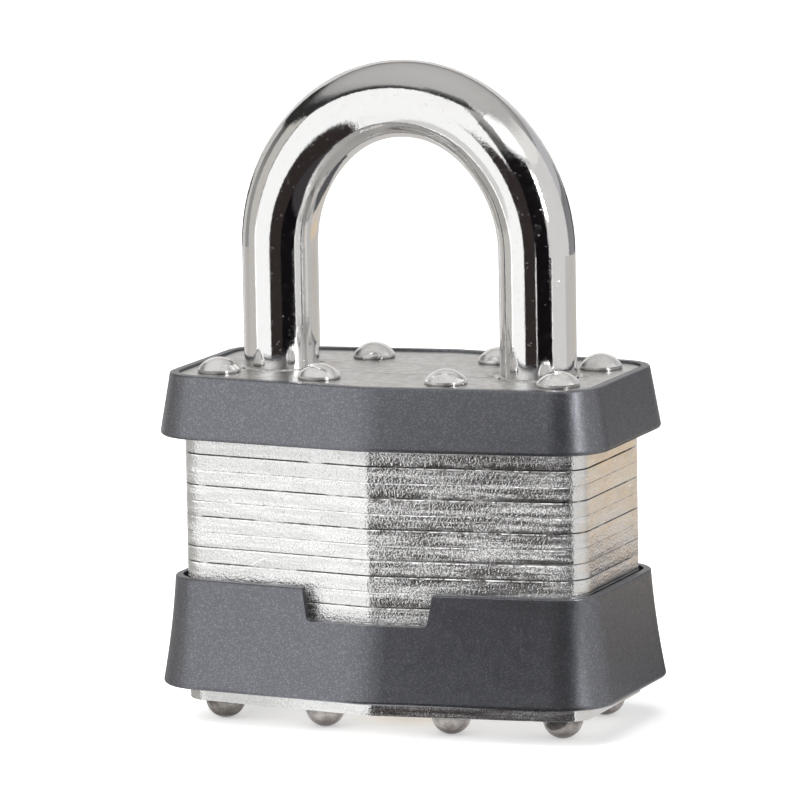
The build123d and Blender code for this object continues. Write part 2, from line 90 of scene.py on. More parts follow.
# Places of the marks on the parts
TURNED_PLATES = 10  # every other plate is turned over; up to this one, from the bottom, it is the others
GLINT_DROP = 0.085  # from each seam down to the painted highlight under it, as a share of a plate's thickness
FACE_SKIN = 0.01 * MM  # what lies within this of the top plate's upper face belongs to that face
SCORE_Y = -2.6 * MM  # a line scored along the top plate, its ends, and the lip beside it; the line is painted shade, the lip a painted highlight
SCORE_FROM = -6 * MM
SCORE_TO = 13 * MM
SCORE_LIP = 0.35 * MM
SCORE_CORE = 0.06 * MM  # half the width of the line's core, and of all of it
SCORE_RIM = 0.20 * MM
LEG_X = 14.25 * MM  # from the middle to the axis of each leg
LEG_GRIME_FULL = 4.4 * MM  # from a leg's axis to where grime round it starts to thin out, and ends
LEG_GRIME_GONE = 6.6 * MM
SEAT_SHADE_FULL = 0.05 * MM  # how far full painted shade reaches over a rivet head from its seat
SEAT_SHADE_LOW = 1.0 * MM  # and where it ends, below the stack and above it
SEAT_SHADE_HIGH = 0.35 * MM
CREASE_REACH = 2.4 * MM  # the coat softens the bands' middle crease this far to each side

# Plates: sizes of blotches and marks, and depths of relief
STAIN_SIZE = 5 * MM
WARM_REFLECTION_SIZE = 2.6 * MM
COOL_REFLECTION_SIZE = 1.9 * MM
MOTTLE_SIZE = 0.9 * MM
LEG_GRIME_SIZE = 0.8 * MM
SEAM_BREAK_SIZE = 2.4 * MM
SEAM_THIN_SIZE = 1.7 * MM
TEAR_SIZE = 1.3 * MM
FLECK_SIZE = 0.30 * MM
STREAK_SIZE = 3 * MM
SPECK_SIZE = 0.15 * MM
TICK_SIZE = 0.55 * MM
SCRATCH_SPACING = 11 * MM
SCRATCH_W = 0.05 * MM
PLATE_SHEEN_SIZE = 0.9 * MM
DRAWN_SIZE = 0.9 * MM
DRAWN_DEPTH = 0.006 * MM
TORN_SIZE = 0.27 * MM
TORN_DEPTH = 0.085 * MM

# Rivets
RIVET_PATCH_SIZE = 1.4 * MM
RIVET_SCALE_SIZE = 0.8 * MM
RIVET_SHEEN_SIZE = 0.5 * MM
RIVET_DENT_SIZE = 0.8 * MM
RIVET_DENT_DEPTH = 0.03 * MM
RIVET_GRAIN_SIZE = 0.22 * MM
RIVET_GRAIN_DEPTH = 0.006 * MM

# Coat of the bands
FLAKE_SIZE = 0.11 * MM
COAT_SHEEN_SIZE = 1.1 * MM
PEEL_SIZE = 0.6 * MM
PEEL_DEPTH = 0.006 * MM
COAT_GRAIN_SIZE = 0.13 * MM
COAT_GRAIN_DEPTH = 0.012 * MM
COAT_METALLIC = 0.91

# Plated bar
BAR_DULL_SIZE = 3 * MM
BAR_SHEEN_SIZE = 0.8 * MM
BAR_WAVE_SIZE = 2.5 * MM
BAR_WAVE_DEPTH = 0.008 * MM
BAR_STREAK_SIZE = 0.35 * MM
BAR_STREAK_DEPTH = 0.0025 * MM
BAR_GRAIN_SIZE = 0.28 * MM
BAR_GRAIN_DEPTH = 0.0055 * MM
BAR_PIT_SIZE = 0.14 * MM
BAR_PIT_DEPTH = 0.004 * MM

# Bare metal of the inner parts
INNER_STAIN_SIZE = 1.8 * MM
INNER_SHEEN_SIZE = 0.6 * MM
INNER_SCRATCH_SIZE = 0.3 * MM
INNER_SCRATCH_DEPTH = 0.012 * MM

# Colours, linear
STEEL = (0.84, 0.84, 0.835, 1)
# Dark flecks in the torn steel, and painted shade in the seams and along the scored line
STEEL_FLECK_AND_SHADE = (0.10, 0.095, 0.09, 1)
STEEL_STAIN = (0.66, 0.65, 0.63, 1)
# Scratches, and painted highlights under the seams and along the scored line's lip
STEEL_SCRATCH_AND_GLINT = (0.95, 0.95, 0.95, 1)
# Painted warm and cool reflections on the plates' end faces
WARM_REFLECTION = (0.84, 0.66, 0.48, 1)
COOL_REFLECTION = (0.58, 0.62, 0.66, 1)
GRIME = (0.30, 0.22, 0.16, 1)
RIVET = (0.97, 0.965, 0.955, 1)
RIVET_STAIN = (0.40, 0.38, 0.36, 1)
# Lower rivet heads: painted darker than the upper ones; their stain colour also serves as painted shade where
# they face down
RIVET_LOW_SHADED = (0.54, 0.505, 0.48, 1)
RIVET_LOW_STAIN_AND_SHADE = (0.06, 0.045, 0.04, 1)
# Painted shade round the rivet heads' seats
RIVET_SEAT_SHADE = (0.06, 0.05, 0.045, 1)
PAINT = (0.172, 0.177, 0.197, 1)
PAINT_FLAKE = (0.46, 0.47, 0.50, 1)
CHROME = (0.87, 0.865, 0.86, 1)
CHROME_DULL = (0.74, 0.72, 0.70, 1)
BRASS = (0.72, 0.53, 0.22, 1)
BRASS_TARNISH = (0.40, 0.26, 0.10, 1)
LEVER = (0.55, 0.53, 0.50, 1)
LEVER_STAIN = (0.30, 0.26, 0.22, 1)
SPRING = (0.50, 0.51, 0.53, 1)
SPRING_STAIN = (0.28, 0.28, 0.29, 1)
WHITE = (1, 1, 1, 1)
UNLIT = (0, 0, 0, 1)
FLOOR = (0.82, 0.82, 0.82, 1)


class Finish:
    """A material and short ways to add nodes to it.

    Noise lies mostly between 0.3 and 0.7, so the two levels that a spread of it is given set how much of
    the surface a mark covers, and how soft its rim is.
    """

    def __init__(self, name):
        self.material = bpy.data.materials.new(name)
        self.material.use_nodes = True
        self.tree = self.material.node_tree
        self.shader = self.tree.nodes["Principled BSDF"]
        self.place = self.node("ShaderNodeTexCoord").outputs["Object"]

    def node(self, kind, **settings):
        made = self.tree.nodes.new(kind)
        for key, value in settings.items():
            setattr(made, key, value)
        return made

    def join(self, source, target):
        self.tree.links.new(source, target)

    def put(self, socket, value):
        """Sets a socket from a plain value, or links it to another node's output."""
        if isinstance(value, bpy.types.NodeSocket):
            self.join(value, socket)
        else:
            socket.default_value = value

    def parts(self, vector):
        """A vector's X, Y and Z."""
        made = self.node("ShaderNodeSeparateXYZ")
        self.join(vector, made.inputs[0])
        return made.outputs

    def normal(self):
        """The direction that the surface faces."""
        return self.node("ShaderNodeNewGeometry").outputs["Normal"]

    def math(self, operation, first, second=0.0, clamp=False):
        made = self.node("ShaderNodeMath", operation=operation, use_clamp=clamp)
        self.put(made.inputs[0], first)
        self.put(made.inputs[1], second)
        return made.outputs[0]

    def times(self, first, *others):
        """The product of several values."""
        for other in others:
            first = self.math("MULTIPLY", first, other)
        return first

    def rest(self, share):
        """What a share leaves of one."""
        return self.math("SUBTRACT", 1.0, share)

    def away(self, value, middle):
        """How far a value is from a middle, to either side."""
        return self.math("ABSOLUTE", self.math("SUBTRACT", value, middle))

    def vector_math(self, operation, first, second=None):
        made = self.node("ShaderNodeVectorMath", operation=operation)
        self.join(first, made.inputs[0])
        if second is not None:
            self.join(second, made.inputs[1])
        return made.outputs[0]

    def spread(self, value, low, high, out_low=0.0, out_high=1.0):
        """Maps a value between two ends smoothly on to another range."""
        made = self.node("ShaderNodeMapRange", interpolation_type="SMOOTHSTEP")
        for socket, given in zip(made.inputs, (value, low, high, out_low, out_high)):
            self.put(socket, given)
        return made.outputs[0]

    def stretched(self, across, along):
        """The place, scaled so that a pattern runs further one way than the other."""
        made = self.node("ShaderNodeMapping")
        made.inputs["Scale"].default_value = (across, across, along)
        self.join(self.place, made.inputs["Vector"])
        return made.outputs[0]

    def noise(self, size, detail=2.0, rough=0.5, place=None):
        """Soft random blotches of about the given size."""
        made = self.node("ShaderNodeTexNoise")
        made.inputs["Scale"].default_value = 1 / size
        made.inputs["Detail"].default_value = detail
        made.inputs["Roughness"].default_value = rough
        self.join(place or self.place, made.inputs["Vector"])
        return made.outputs[0]

    def cells(self, size):
        """Random grey cells of about the given size, as in flake or broken grain."""
        made = self.node("ShaderNodeTexVoronoi")
        made.inputs["Scale"].default_value = 1 / size
        self.join(self.place, made.inputs["Vector"])
        split = self.node("ShaderNodeSeparateColor")
        self.join(made.outputs["Color"], split.inputs[0])
        return split.outputs[0]

    def scratches(self, spacing, width):
        """Thin wandering lines about as far apart as the spacing."""
        wander = self.node("ShaderNodeTexNoise")
        wander.inputs["Scale"].default_value = 1 / spacing
        self.join(self.place, wander.inputs["Vector"])
        bent = self.node("ShaderNodeVectorMath", operation="MULTIPLY_ADD")
        self.join(wander.outputs["Color"], bent.inputs[0])
        bent.inputs[1].default_value = (spacing, spacing, spacing)
        self.join(self.place, bent.inputs[2])
        made = self.node("ShaderNodeTexVoronoi", feature="DISTANCE_TO_EDGE")
        made.inputs["Scale"].default_value = 1 / spacing
        self.join(bent.outputs[0], made.inputs["Vector"])
        share = width / spacing
        return self.spread(made.outputs["Distance"], 0.4 * share, share, 1.0, 0.0)

    def blend(self, share, first, second):
        """Mixes two colours, or outputs, by a share."""
        made = self.node("ShaderNodeMix", data_type="RGBA")
        self.put(made.inputs[0], share)
        self.put(made.inputs[6], first)
        self.put(made.inputs[7], second)
        return made.outputs[2]

    def bump(self, height, depth, under=None):
        """The surface's direction with a relief, on top of another relief if one is given."""
        made = self.node("ShaderNodeBump")
        made.inputs["Strength"].default_value = 1.0
        made.inputs["Distance"].default_value = depth
        self.join(height, made.inputs["Height"])
        if under is not None:
            self.join(under, made.inputs["Normal"])
        return made.outputs[0]

    def dress(self, colour, roughness, normal, metallic=1.0):
        self.put(self.shader.inputs["Base Color"], colour)
        self.put(self.shader.inputs["Roughness"], roughness)
        self.put(self.shader.inputs["Normal"], normal)
        self.put(self.shader.inputs["Metallic"], metallic)
        return self.material

    def glow(self, base, roughness, light, strength):
        """Sets a surface without gloss that gives off light of its own."""
        self.shader.inputs["Base Color"].default_value = base
        self.shader.inputs["Roughness"].default_value = roughness
        self.shader.inputs["Specular IOR Level"].default_value = 0.0
        self.shader.inputs["Emission Color"].default_value = light
        self.join(strength, self.shader.inputs["Emission Strength"])
        return self.material


def plate_ground(finish, stain, edge, side):
    """Plating: faint stains, painted warm and cool reflections on the end faces, and a mottle on the flat
    faces.
    """
    ground = finish.blend(finish.times(stain, 0.35), STEEL, STEEL_STAIN)
    end = finish.spread(side, 0.70, 0.95)
    drift = finish.stretched(0.6, 1.6)
    # painted warm and cool reflections, on the end faces only
    for size, low, high, share, reflected_tint in (
        (WARM_REFLECTION_SIZE, 0.40, 0.66, 0.35, WARM_REFLECTION),
        (COOL_REFLECTION_SIZE, 0.50, 0.68, 0.30, COOL_REFLECTION),
    ):
        patches = finish.spread(finish.noise(size, detail=3.0, rough=0.6, place=drift), low, high)
        ground = finish.blend(finish.times(patches, end, share), ground, reflected_tint)
    mottle = finish.spread(finish.noise(MOTTLE_SIZE, detail=4.0, rough=0.75), 0.40, 0.60, 0.0, 0.8)
    return finish.blend(finish.times(mottle, finish.rest(edge)), ground, STEEL_STAIN)


def top_marks(finish, spot, ground):
    """Marks on the uppermost face: a scored line between the legs, drawn as painted shade with a painted
    highlight on its lip, and handling grime round their holes.
    """
    on_top = finish.math("GREATER_THAN", spot["Z"], STACK_TOP - FACE_SKIN)
    along = finish.times(
        finish.spread(spot["X"], SCORE_FROM - MM, SCORE_FROM),
        finish.spread(spot["X"], SCORE_TO, SCORE_TO + MM, 1.0, 0.0),
    )
    # the line's core is painted shade, and the lip beside it a painted highlight
    for offset, colour in ((0.0, STEEL_FLECK_AND_SHADE), (SCORE_LIP, STEEL_SCRATCH_AND_GLINT)):
        off_line = finish.away(spot["Y"], SCORE_Y + offset)
        mark = finish.spread(off_line, SCORE_CORE, SCORE_RIM, 0.55, 0.0)
        ground = finish.blend(finish.times(mark, along, on_top), ground, colour)
    off_leg = finish.math("SUBTRACT", finish.math("ABSOLUTE", spot["X"]), LEG_X)
    squares = finish.math("ADD", finish.times(off_leg, off_leg), finish.times(spot["Y"], spot["Y"]))
    reach = finish.math("POWER", squares, 0.5)
    grime = finish.times(
        finish.spread(reach, LEG_GRIME_FULL, LEG_GRIME_GONE, 1.0, 0.0),
        finish.spread(finish.noise(LEG_GRIME_SIZE, detail=4.0, rough=0.7), 0.42, 0.62, 0.0, 0.7),
        on_top,
    )
    return finish.blend(grime, ground, GRIME)


def seam_shade_lines(finish, off_roll, thin):
    """Painted shade in the gaps between the plates: deep where two rims are rolled, hair-thin where two sharp
    ones meet.
    """
    broken = finish.noise(SEAM_BREAK_SIZE, detail=3.0, rough=0.6, place=finish.stretched(1.0, 4.0))
    deep = finish.times(finish.spread(off_roll, 0.020, 0.060, 1.0, 0.0), finish.spread(broken, 0.36, 0.50))
    hair = finish.times(finish.spread(finish.rest(off_roll), 0.010, 0.035, 0.5, 0.0), thin)
    return finish.math("ADD", deep, hair, clamp=True)


def torn_steel(finish, level, off_roll, edge, front):
    """How torn a cut edge is: least by its rolled rim, at the plates' ends and on the bottom plate."""
    wander = finish.times(finish.noise(TEAR_SIZE, detail=3.0, rough=0.6), 0.9)
    return finish.times(
        finish.spread(finish.math("ADD", off_roll, wander), 0.48, 0.85, 0.40, 1.0),
        edge,
        finish.spread(front, 0.0, 1.0, 0.45, 1.0),
        finish.spread(level, 0.95, 1.05, 0.50, 1.0),
    )


def matte_specks(finish, torn):
    """Dull specks in the torn steel, gathered in streaks along the plates."""
    streak = finish.noise(STREAK_SIZE, detail=3.0, rough=0.6, place=finish.stretched(0.35, 6.0))
    speck = finish.noise(SPECK_SIZE, detail=1.0)
    return finish.times(
        torn,
        finish.spread(streak, 0.40, 0.62, 0.15, 1.0),
        finish.spread(speck, 0.46, 0.64, 0.26, 0.80),
    )


def glints_and_scratches(finish, level, stain, thin, edge, front):
    """Painted highlights on the cut edges in broken ticks just under each seam, on the front and back faces
    only, and a few long scratches of bare steel.
    """
    under_seam = finish.rest(finish.math("FRACT", level))
    ticked = finish.spread(finish.noise(TICK_SIZE, detail=3.0, rough=0.7), 0.36, 0.56)
    # painted highlights in broken ticks just under each seam, on the front and back faces only
    seam_glint = finish.times(
        finish.spread(finish.away(under_seam, GLINT_DROP), 0.02, 0.05, 1.0, 0.0),
        front,
        ticked,
        finish.spread(thin, 0.0, 1.0, 0.5, 1.0),
    )
    scratch = finish.times(
        finish.scratches(SCRATCH_SPACING, SCRATCH_W),
        finish.spread(stain, 0.4, 0.8, 0.0, 0.7),
    )
    return finish.times(finish.math("MAXIMUM", seam_glint, scratch), edge)


def plate_steel():
    """Punched plates: smooth on their faces, stippled on their cut edges, with painted shade in the seams,
    painted highlights under them, and scratches.
    """
    finish = Finish("plate_steel")

    # Where a point lies in the stack, and which way it faces
    spot = finish.parts(finish.place)
    facing = finish.parts(finish.normal())
    side = finish.math("ABSOLUTE", facing["X"])
    front = finish.spread(side, 0.35, 0.75, 1.0, 0.0)
    edge = finish.spread(finish.math("ABSOLUTE", facing["Z"]), 0.75, 0.95, 1.0, 0.0)
    level = finish.math("DIVIDE", finish.math("SUBTRACT", spot["Z"], STACK_BASE), PLATE_T)
    turned = finish.math("LESS_THAN", level, TURNED_PLATES)
    off_roll = finish.math("PINGPONG", finish.math("ADD", level, turned), 1.0)
    stain = finish.spread(finish.noise(STAIN_SIZE, detail=4.0, rough=0.6), 0.45, 0.75)
    seam_thinning = finish.noise(SEAM_THIN_SIZE, detail=3.0, rough=0.6, place=finish.stretched(1.0, 4.0))
    thin = finish.spread(seam_thinning, 0.45, 0.62)

    # Marks, and the colours that they leave
    torn = torn_steel(finish, level, off_roll, edge, front)
    flecks = finish.times(finish.spread(finish.noise(FLECK_SIZE, rough=0.7), 0.38, 0.30), torn)
    specks = matte_specks(finish, torn)
    bright = glints_and_scratches(finish, level, stain, thin, edge, front)
    lines = seam_shade_lines(finish, off_roll, thin)
    colour = top_marks(finish, spot, plate_ground(finish, stain, edge, side))
    # Dark flecks, dull specks, painted highlights under the seams with scratches, and painted shade in the
    # seams
    for share, tint in (
        (finish.times(flecks, 0.3), STEEL_FLECK_AND_SHADE),
        (finish.times(specks, 0.6), STEEL_STAIN),
        (bright, STEEL_SCRATCH_AND_GLINT),
        (finish.times(lines, edge, 0.9), STEEL_FLECK_AND_SHADE),
    ):
        colour = finish.blend(share, colour, tint)

    # Gloss and relief
    cut = finish.spread(finish.noise(PLATE_SHEEN_SIZE, detail=3.0), 0.3, 0.75, 0.10, 0.19)
    roughness = finish.math("ADD", cut, finish.times(finish.rest(edge), 0.22))
    drawn = finish.bump(finish.noise(DRAWN_SIZE, detail=3.0, rough=0.6), DRAWN_DEPTH)
    grain = finish.times(finish.noise(TORN_SIZE, rough=0.55), torn)
    grained = finish.bump(grain, TORN_DEPTH, drawn)
    metallic = finish.rest(finish.math("MAXIMUM", bright, specks))
    return finish.dress(colour, roughness, grained, metallic)


def rivet_steel():
    """Formed rivet heads: satin plating above; below, painted darker, with dark stains and painted shade
    where they face down; painted shade where they seat.
    """
    finish = Finish("rivet_steel")
    spot = finish.parts(finish.place)
    facing = finish.parts(finish.normal())
    # the heads under the stack are painted darker
    lower_heads = finish.math("LESS_THAN", spot["Z"], STACK_BASE)
    patches = finish.spread(finish.noise(RIVET_PATCH_SIZE, detail=4.0, rough=0.6), 0.42, 0.70)
    scale = finish.spread(finish.noise(RIVET_SCALE_SIZE, detail=3.0, rough=0.6), 0.40, 0.64)
    # painted shade where the lower heads face down
    under = finish.spread(facing["Z"], -0.90, -0.25, 0.8, 0.0)
    plated = finish.blend(finish.times(patches, 0.18), RIVET, RIVET_STAIN)
    lower_tone = finish.blend(finish.times(scale, 0.4), RIVET_LOW_SHADED, RIVET_LOW_STAIN_AND_SHADE)
    lower_tone = finish.blend(under, lower_tone, RIVET_LOW_STAIN_AND_SHADE)
    colour = finish.blend(lower_heads, plated, lower_tone)
    # painted shade round each head where it seats
    seat_shades = []
    for seat, reach in ((STACK_BASE, SEAT_SHADE_LOW), (STACK_TOP, SEAT_SHADE_HIGH)):
        seat_shades.append(finish.spread(finish.away(spot["Z"], seat), SEAT_SHADE_FULL, reach, 0.8, 0.0))
    colour = finish.blend(finish.math("MAXIMUM", *seat_shades), colour, RIVET_SEAT_SHADE)
    roughness = finish.spread(finish.noise(RIVET_SHEEN_SIZE, detail=3.0), 0.3, 0.7, 0.11, 0.22)
    metallic = finish.spread(lower_heads, 0.0, 1.0, 0.86, 0.72)
    flats = finish.bump(finish.noise(RIVET_DENT_SIZE), RIVET_DENT_DEPTH)
    grained = finish.bump(finish.noise(RIVET_GRAIN_SIZE), RIVET_GRAIN_DEPTH, flats)
    return finish.dress(colour, roughness, grained, metallic)


def bumper_paint():
    """Dark metallic coat: fine orange peel and pale flakes, with the bands' middle crease softened."""
    finish = Finish("bumper_paint")
    spot = finish.parts(finish.place)
    flake = finish.spread(finish.cells(FLAKE_SIZE), 0.55, 1.0)
    colour = finish.blend(finish.times(flake, 0.32), PAINT, PAINT_FLAKE)
    roughness = finish.spread(finish.noise(COAT_SHEEN_SIZE, detail=3.0), 0.3, 0.7, 0.30, 0.36)
    off_crease = finish.math("DIVIDE", finish.math("ABSOLUTE", spot["X"]), CREASE_REACH, clamp=True)
    ease = finish.node("ShaderNodeCombineXYZ")
    for socket, share in zip(ease.inputs, (off_crease, 1.0, 1.0)):
        finish.put(socket, share)
    eased = finish.vector_math("MULTIPLY", finish.normal(), ease.outputs[0])
    even = finish.vector_math("NORMALIZE", eased)
    peel = finish.bump(finish.noise(PEEL_SIZE), PEEL_DEPTH, even)
    grained = finish.bump(finish.noise(COAT_GRAIN_SIZE, detail=1.0), COAT_GRAIN_DEPTH, peel)
    return finish.dress(colour, roughness, grained, COAT_METALLIC)


def chrome():
    """Bright plated bar: nearly a mirror, with waves and streaks along it, a fine grain and a few pits."""
    finish = Finish("chrome")
    dull = finish.spread(finish.noise(BAR_DULL_SIZE, detail=4.0, rough=0.6), 0.5, 0.8)
    colour = finish.blend(finish.times(dull, 0.3), CHROME, CHROME_DULL)
    roughness = finish.spread(finish.noise(BAR_SHEEN_SIZE, detail=4.0), 0.4, 0.8, 0.05, 0.14)
    waves = finish.noise(BAR_WAVE_SIZE, place=finish.stretched(1.0, 0.25))
    streaks = finish.noise(BAR_STREAK_SIZE, rough=0.6, place=finish.stretched(1.0, 0.05))
    grain = finish.noise(BAR_GRAIN_SIZE, detail=3.0, rough=0.6)
    pits = finish.spread(finish.cells(BAR_PIT_SIZE), 0.985, 1.0)
    relief = None
    for height, depth in (
        (waves, BAR_WAVE_DEPTH),
        (streaks, BAR_STREAK_DEPTH),
        (grain, BAR_GRAIN_DEPTH),
        (pits, BAR_PIT_DEPTH),
    ):
        relief = finish.bump(height, depth, relief)
    return finish.dress(colour, roughness, relief)


def worn_metal(name, bright, stained, smooth, rough):
    """An inner part's bare metal: stains, and drawn scratches along it."""
    finish = Finish(name)
    stain = finish.spread(finish.noise(INNER_STAIN_SIZE, detail=4.0, rough=0.6), 0.45, 0.72)
    colour = finish.blend(finish.times(stain, 0.7), bright, stained)
    roughness = finish.spread(finish.noise(INNER_SHEEN_SIZE, detail=3.0), 0.3, 0.7, smooth, rough)
    drawn = finish.noise(INNER_SCRATCH_SIZE, place=finish.stretched(1.0, 0.1))
    return finish.dress(colour, roughness, finish.bump(drawn, INNER_SCRATCH_DEPTH))


FINISHES = {
    "plate_steel": plate_steel(),
    "rivet_steel": rivet_steel(),
    "bumper": bumper_paint(),
    "chrome_bar": chrome(),
    "brass": worn_metal("brass", BRASS, BRASS_TARNISH, 0.22, 0.42),
    "lever_steel": worn_metal("lever_steel", LEVER, LEVER_STAIN, 0.28, 0.48),
    "spring_steel": worn_metal("spring_steel", SPRING, SPRING_STAIN, 0.25, 0.40),
}
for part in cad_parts.values():
    for holder in part.material_slots:
        holder.material = FINISHES[holder.material.name.split(".")[0]]


def direction(azimuth, elevation=0.0):
    """A unit vector from the object towards an azimuth and elevation."""
    turn = math.radians(azimuth)
    rise = math.radians(elevation)
    return Vector((math.sin(turn) * math.cos(rise), -math.cos(turn) * math.cos(rise), math.sin(rise)))


def link(thing):
    bpy.context.scene.collection.objects.link(thing)
    return thing


# Pin springs, which in the lock shorten as their driver pins are pushed back; here each is copied onto the
# body
PIN_COUNT = 4


def pin_spring(number):
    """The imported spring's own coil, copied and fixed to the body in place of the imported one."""
    packed = f"pin_spring_{number}"
    spring = link(bpy.data.objects.new(f"pressed_spring_{number}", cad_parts[packed].data.copy()))
    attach(spring, "body")
    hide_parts(packed)
    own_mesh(spring)


for count in range(PIN_COUNT):
    pin_spring(count + 1)

# Floor: white to the camera and in reflections, with the object's shadow kept
FLOOR_R = 6.0
FLOOR_STEP = 5
FLOOR_ROUGH = 0.9
FLOOR_GLOW = 0.45


def floor_material():
    """Pale from above, clear from below, so that the underside can be seen."""
    finish = Finish("floor")
    ray = finish.node("ShaderNodeLightPath")
    seen = finish.math("ADD", ray.outputs["Is Camera Ray"], ray.outputs["Is Glossy Ray"])
    seen = finish.math("ADD", seen, ray.outputs["Is Transmission Ray"], clamp=True)
    finish.glow(FLOOR, FLOOR_ROUGH, WHITE, finish.times(seen, FLOOR_GLOW))
    either = finish.node("ShaderNodeMixShader")
    finish.join(finish.node("ShaderNodeNewGeometry").outputs["Backfacing"], either.inputs[0])
    finish.join(finish.shader.outputs[0], either.inputs[1])
    finish.join(finish.node("ShaderNodeBsdfTransparent").outputs[0], either.inputs[2])
    finish.join(either.outputs[0], finish.tree.nodes["Material Output"].inputs["Surface"])
    return finish.material


def disc(name, radius, level):
    """A flat round sheet, facing up."""
    rim = [radius * direction(azimuth) for azimuth in range(0, 360, FLOOR_STEP)]
    mesh = bpy.data.meshes.new(name)
    mesh.from_pydata([(spot.x, spot.y, level) for spot in rim], [], [range(len(rim))])
    return link(bpy.data.objects.new(name, mesh))


floor = disc("floor", FLOOR_R, cad_box[0][2])
floor.data.materials.append(floor_material())

# Studio cards that only show in the metal: dark flags under the camera, pale cards beside and above
CARD_STEP = 3  # degrees of azimuth from one rib of a card to the next
CARD_LIFT = 0.4 * MM  # off the floor
CARD_NEAR = 16 * MM
CARD_FAR = 420 * MM
WHITE_REACH = 130 * MM
FLAG_REACH = 200 * MM
SIDE_NEAR = 100 * MM
SIDE_MIDDLE = 150 * MM
SIDE_FAR = 240 * MM
BACK_REACH = 400 * MM
SILL_H = 60 * MM
SIDE_SILL_H = 130 * MM
BOW_LEVEL = 64 * MM  # the part of the shackle's bow that upright cards are set out from


def card_material(name, colour):
    """Light of one colour, dimmed by how far each row of the card is faded."""
    finish = Finish(name)
    fade = finish.node("ShaderNodeAttribute", attribute_name="fade")
    return finish.glow(UNLIT, 1.0, colour, fade.outputs["Fac"])


def lying(near=CARD_NEAR, far=CARD_FAR):
    """A card's stretch on the floor, as rows of distance, height at its two ends and brightness."""
    return [(near, 0, 0, 1), (far, 0, 0, 1)]


def standing(height, bright=1):
    """A level edge of an upright card."""
    return [(CARD_FAR, height, height, bright)]


def seen_at(first, last, bright=1, reach=CARD_FAR):
    """An upright card's edge that shows at these elevations in the shackle's bow, at its two ends."""
    heights = [BOW_LEVEL + reach * math.tan(math.radians(rise)) for rise in (first, last)]
    return [(reach, heights[0], heights[1], bright)]


def card(name, first, last, rows, colour):
    """A card between two azimuths, bent along its rows."""
    count = math.ceil((last - first) / CARD_STEP)
    spots = []
    fades = []
    for step in range(count + 1):
        share = step / count
        way = direction(first + (last - first) * share)
        for reach, low, high, bright in rows:
            height = cad_box[0][2] + CARD_LIFT + low + (high - low) * share
            spots.append((way.x * reach, way.y * reach, height))
            fades.append(bright)
    size = len(rows)
    quads = []
    for step in range(count):
        for place in range(step * size, step * size + size - 1):
            quads.append((place, place + size, place + size + 1, place + 1))
    mesh = bpy.data.meshes.new(name)
    mesh.from_pydata(spots, [], quads)
    mesh.attributes.new("fade", "FLOAT", "POINT").data.foreach_set("value", fades)
    mesh.materials.append(card_material(name, colour))
    made = link(bpy.data.objects.new(name, mesh))
    made.visible_camera = False
    made.visible_diffuse = False
    made.visible_transmission = False
    made.visible_shadow = False
    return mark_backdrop(made)


# In front, under the camera
BROWN = (0.032, 0.025, 0.024, 1)
BLACK = (0.006, 0.005, 0.006, 1)
DUSK = (0.05, 0.046, 0.05, 1)
FLAG_FOOT = [(FLAG_REACH, 0, 0, 1)]
card("brown_floor", -14, 20, lying(CARD_NEAR, FLAG_REACH), BROWN)
card("brown_flag_low", -14.5, 0, FLAG_FOOT + seen_at(-3, 8, reach=FLAG_REACH), BROWN)
card("brown_flag_high", 0, 20, FLAG_FOOT + seen_at(8, 10, reach=FLAG_REACH), BROWN)
card("dusk_floor", 20, 65, lying(CARD_NEAR, SIDE_NEAR), DUSK)
card("black_floor", 20, 65, lying(SIDE_NEAR), BLACK)
card("black_flag_low", 10, 35, standing(0) + seen_at(15, 28), BLACK)
card("black_flag_high", 35, 58, standing(0) + seen_at(28, 31), BLACK)

# On the right
GLARE = (1.4, 1.4, 1.4, 1)
GREY = (0.70, 0.69, 0.68, 1)
SHOULDER_EDGES = seen_at(27, 31, 0.2) + seen_at(33, 36) + seen_at(45, 48) + seen_at(54, 56, 0.3)
HEAD_EDGES = seen_at(31, 31) + seen_at(44, 40) + seen_at(55, 50, 0.6)
card("shoulder_light", 30, 72, SHOULDER_EDGES, GLARE)
card("grey_floor", 66, 112, lying(), GREY)
card("grey_wall", 58, 130, standing(0) + seen_at(31, 31), GREY)
card("grey_head", 72, 130, HEAD_EDGES, (0.84, 0.83, 0.81, 1))
card("dim_floor", 112, 130, lying(), (0.54, 0.53, 0.52, 1))

# Behind on the right, which the plates' right ends mirror
SIDE = (130, 172)
card("side_floor", *SIDE, lying(CARD_NEAR, SIDE_NEAR), (0.10, 0.10, 0.11, 1))
card("cream_floor", *SIDE, lying(SIDE_NEAR, SIDE_MIDDLE), (0.66, 0.60, 0.54, 1))
card("amber_floor", *SIDE, lying(SIDE_MIDDLE, SIDE_FAR), (0.73, 0.60, 0.45, 1))
card("sand_floor", *SIDE, lying(SIDE_FAR), (0.56, 0.53, 0.50, 1))
card("slate_sill", *SIDE, standing(0, 1.3) + standing(SIDE_SILL_H), (0.20, 0.20, 0.21, 1))
card("slate_wall", *SIDE, standing(SIDE_SILL_H) + seen_at(30, 30), (0.50, 0.50, 0.52, 1))

# Behind
BACK = (172, 232)
card("back_floor", *BACK, lying(CARD_NEAR, BACK_REACH), (0.62, 0.60, 0.58, 1))
card("dark_sill", *BACK, lying(BACK_REACH) + standing(SILL_H), (0.05, 0.045, 0.04, 1))
card("pale_back", *BACK, standing(SILL_H) + seen_at(29, 29), (0.72, 0.705, 0.69, 1))

